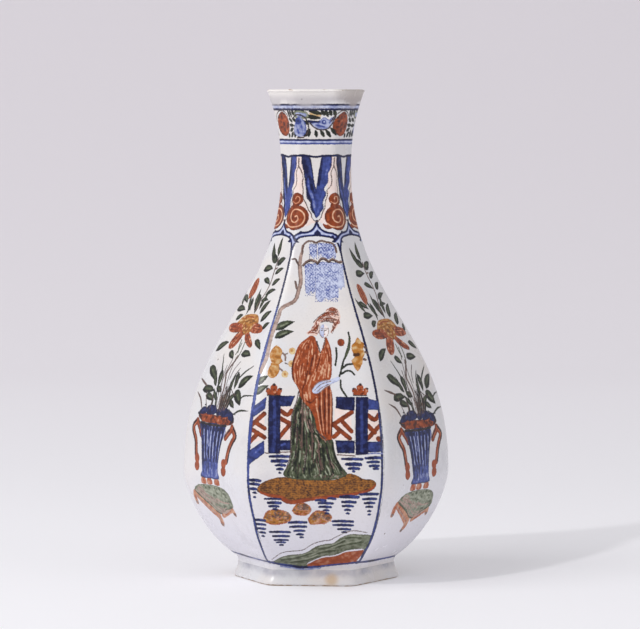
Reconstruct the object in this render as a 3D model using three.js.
// A six-sided pear-shaped bottle vase in tin-glazed earthenware, about 31 cm high.
// Each clay section is turned round, pressed six-sided, and luted to the next one with slip at a flat joint.
// Millimetres, +Z up. The origin is the middle of the foot's resting face, and a facet faces -Y.
import * as THREE from "three";

// Heights, each measured from the one before it
const FOOT_HEIGHT = 10;
const FLOOR_THICKNESS = 6;
const BELLY_RISE = 60; // from the top of the foot to the widest level
const SHOULDER_RISE = 188; // from the widest level to the narrowest of the neck
const MOUTH_RISE = 52; // from the narrowest of the neck to the lip
const NECK_JOINT_DROP = 44; // the neck is luted on this far below its narrowest level
const MOUTH_JOINT_RISE = 18; // the mouth is luted on this far above it

// Radii at the corners of the six-sided section
const FOOT_RADIUS = 52.6;
const CREASE_RADIUS = 49.6; // where the belly springs from the foot
const BELLY_RADIUS = 84.2;
const NECK_RADIUS = 22.1;
const LIP_RADIUS = 31;

// Clay thicknesses
const FOOT_WALL = 8;
const BELLY_WALL = 5.5;
const NECK_WALL = 4.5;
const LIP_LAND = 2; // the flat left on top of the rounded lip
const LIP_ROUND = 1.4;
const FOOT_BEVEL = 1.2;
const FOOT_DRAFT = 3; // the foot's hollow narrows by this towards the floor

// How the pressing leaves the section: a high number gives flat facets and tight corners, 2 a circle
const BELLY_SHARPNESS = 16;
const FOOT_SHARPNESS = 26;
const FOOT_TWIST = THREE.MathUtils.degToRad(-4.5); // the foot was luted on a little turned
const TWIST_FADE = 30; // the belly has taken up that turn by this height

const SIDES = 6;
const STEPS_ROUND = 8 * SIDES;
const ROW_PITCH = 12; // about how far apart the rows of a wall lie

const floorBottom = FOOT_HEIGHT;
const floorTop = floorBottom + FLOOR_THICKNESS;
const widest = FOOT_HEIGHT + BELLY_RISE;
const narrowest = widest + SHOULDER_RISE;
const lipTop = narrowest + MOUTH_RISE;
const neckJoint = narrowest - NECK_JOINT_DROP;
const mouthJoint = narrowest + MOUTH_JOINT_RISE;

// The outer wall, as radius and height: from a short upright cove above the foot it swells to the widest level,
// draws in to the neck and flares to the lip.
const at = (radius, height) => new THREE.Vector2(radius, height);
const COVE_RISE = 4; // how far the cove goes up
const COVE_FLARE = 1.4; // how far it has opened out there
const coveTop = floorBottom + COVE_RISE;
const coveRadius = CREASE_RADIUS + COVE_FLARE;
const outerWall = [
  new THREE.CubicBezierCurve(
    at(CREASE_RADIUS, floorBottom),
    at(CREASE_RADIUS, floorBottom + 0.4 * COVE_RISE),
    at(coveRadius - 0.8, coveTop - 0.6),
    at(coveRadius, coveTop),
  ),
  new THREE.CubicBezierCurve(
    at(coveRadius, coveTop),
    at(THREE.MathUtils.lerp(coveRadius, BELLY_RADIUS, 0.67), THREE.MathUtils.lerp(coveTop, widest, 0.27)),
    at(BELLY_RADIUS, THREE.MathUtils.lerp(coveTop, widest, 0.78)),
    at(BELLY_RADIUS, widest),
  ),
  new THREE.CubicBezierCurve(
    at(BELLY_RADIUS, widest),
    at(BELLY_RADIUS, widest + 0.46 * SHOULDER_RISE),
    at(NECK_RADIUS, narrowest - 0.43 * SHOULDER_RISE),
    at(NECK_RADIUS, narrowest),
  ),
  new THREE.CubicBezierCurve(
    at(NECK_RADIUS, narrowest),
    at(NECK_RADIUS, narrowest + 0.52 * MOUTH_RISE),
    at(THREE.MathUtils.lerp(NECK_RADIUS, LIP_RADIUS, 0.46), lipTop - 0.28 * MOUTH_RISE),
    at(LIP_RADIUS, lipTop),
  ),
];

function outerRadius(height) {
  const part = outerWall.find((curve) => height <= curve.v3.y) ?? outerWall.at(-1);
  let low = 0;
  let high = 1;
  for (let i = 0; i < 40; i += 1) {
    const middle = (low + high) / 2;
    if (part.getPoint(middle).y < height) low = middle;
    else high = middle;
  }
  return part.getPoint(high).x;
}

function innerRadius(height) {
  const rise = THREE.MathUtils.smoothstep(height, widest, narrowest);
  return outerRadius(height) - THREE.MathUtils.lerp(BELLY_WALL, NECK_WALL, rise);
}

// How far out the pressed section reaches at an angle, as a share of its radius at a corner. Corners lie on X.
function pressedShare(angle, sharpness) {
  const reach = (a) => {
    let sum = 0;
    for (let i = 0; i < SIDES / 2; i += 1) {
      sum += Math.abs(Math.cos(a - ((i + 0.5) * 2 * Math.PI) / SIDES)) ** sharpness;
    }
    return sum ** (1 / sharpness);
  };
  return reach(0) / reach(angle);
}

// Turns a closed outline of radius and height points about Z, then presses it six-sided.
function pressed(outline) {
  const geometry = new THREE.LatheGeometry([...outline, outline[0]], STEPS_ROUND, Math.PI / 2);
  geometry.rotateX(Math.PI / 2);
  const position = geometry.getAttribute("position");
  for (let i = 0; i < position.count; i += 1) {
    const [x, y, z] = [position.getX(i), position.getY(i), position.getZ(i)];
    const settled = THREE.MathUtils.smoothstep(z, 0, TWIST_FADE);
    const angle = Math.atan2(y, x);
    const share = pressedShare(angle, THREE.MathUtils.lerp(FOOT_SHARPNESS, BELLY_SHARPNESS, settled));
    const radius = Math.hypot(x, y) * share;
    const turned = angle + FOOT_TWIST * (1 - settled);
    position.setXY(i, radius * Math.cos(turned), radius * Math.sin(turned));
  }
  return geometry;
}

// Evenly spaced heights from one level to another, both included
function levels(bottom, top) {
  const count = Math.max(2, Math.round((top - bottom) / ROW_PITCH));
  return Array.from({ length: count + 1 }, (_, i) => THREE.MathUtils.lerp(bottom, top, i / count));
}

// The section of wall between two joints, up the outside and down the inside
function wall(bottom, top) {
  const heights = levels(bottom, top);
  const outside = heights.map((height) => at(outerRadius(height), height));
  const inside = heights.map((height) => at(innerRadius(height), height)).reverse();
  return [...outside, ...inside];
}

// The foot: a low flared ring, glazed outside and bare where it stands
function footOutline() {
  const bore = FOOT_RADIUS - FOOT_WALL;
  return [
    at(FOOT_RADIUS - FOOT_BEVEL, 0),
    at(FOOT_RADIUS, FOOT_BEVEL),
    at(THREE.MathUtils.lerp(FOOT_RADIUS, CREASE_RADIUS, 0.55), 0.5 * FOOT_HEIGHT),
    at(CREASE_RADIUS, FOOT_HEIGHT),
    at(bore - FOOT_DRAFT, FOOT_HEIGHT),
    at(bore, FOOT_BEVEL),
    at(bore + FOOT_BEVEL, 0),
  ];
}

// The floor: a slab that closes the vessel, its edge part of the outer wall
function floorOutline() {
  return [
    at(0, floorBottom),
    at(outerRadius(floorBottom), floorBottom),
    at(outerRadius((floorBottom + floorTop) / 2), (floorBottom + floorTop) / 2),
    at(outerRadius(floorTop), floorTop),
    at(0, floorTop),
  ];
}

// The mouth: the flared top of the wall with a rounded lip
function mouthOutline() {
  const shoulder = lipTop - LIP_ROUND;
  const heights = levels(mouthJoint, shoulder);
  const outside = heights.map((height) => at(outerRadius(height), height));
  const landOuter = outerRadius(lipTop) - LIP_ROUND;
  const landInner = landOuter - LIP_LAND;
  const inside = heights
    .map((height) => {
      const lift = THREE.MathUtils.smoothstep(height, mouthJoint, shoulder);
      return at(THREE.MathUtils.lerp(innerRadius(height), landInner - LIP_ROUND, lift), height);
    })
    .reverse();
  return [...outside, at(landOuter, lipTop), at(landInner, lipTop), ...inside];
}

const glaze = { color: 0xe9e6e4, roughness: 0.22, metalness: 0 };
const sections = {
  foot_ring: footOutline(),
  base_floor: floorOutline(),
  lower_belly: wall(floorTop, widest),
  upper_belly: wall(widest, neckJoint),
  neck: wall(neckJoint, mouthJoint),
  mouth_collar: mouthOutline(),
};

const vase = new THREE.Group();
for (const [name, outline] of Object.entries(sections)) {
  const section = new THREE.Mesh(pressed(outline), new THREE.MeshStandardMaterial(glaze));
  section.name = name;
  vase.add(section);
}

export default vase;
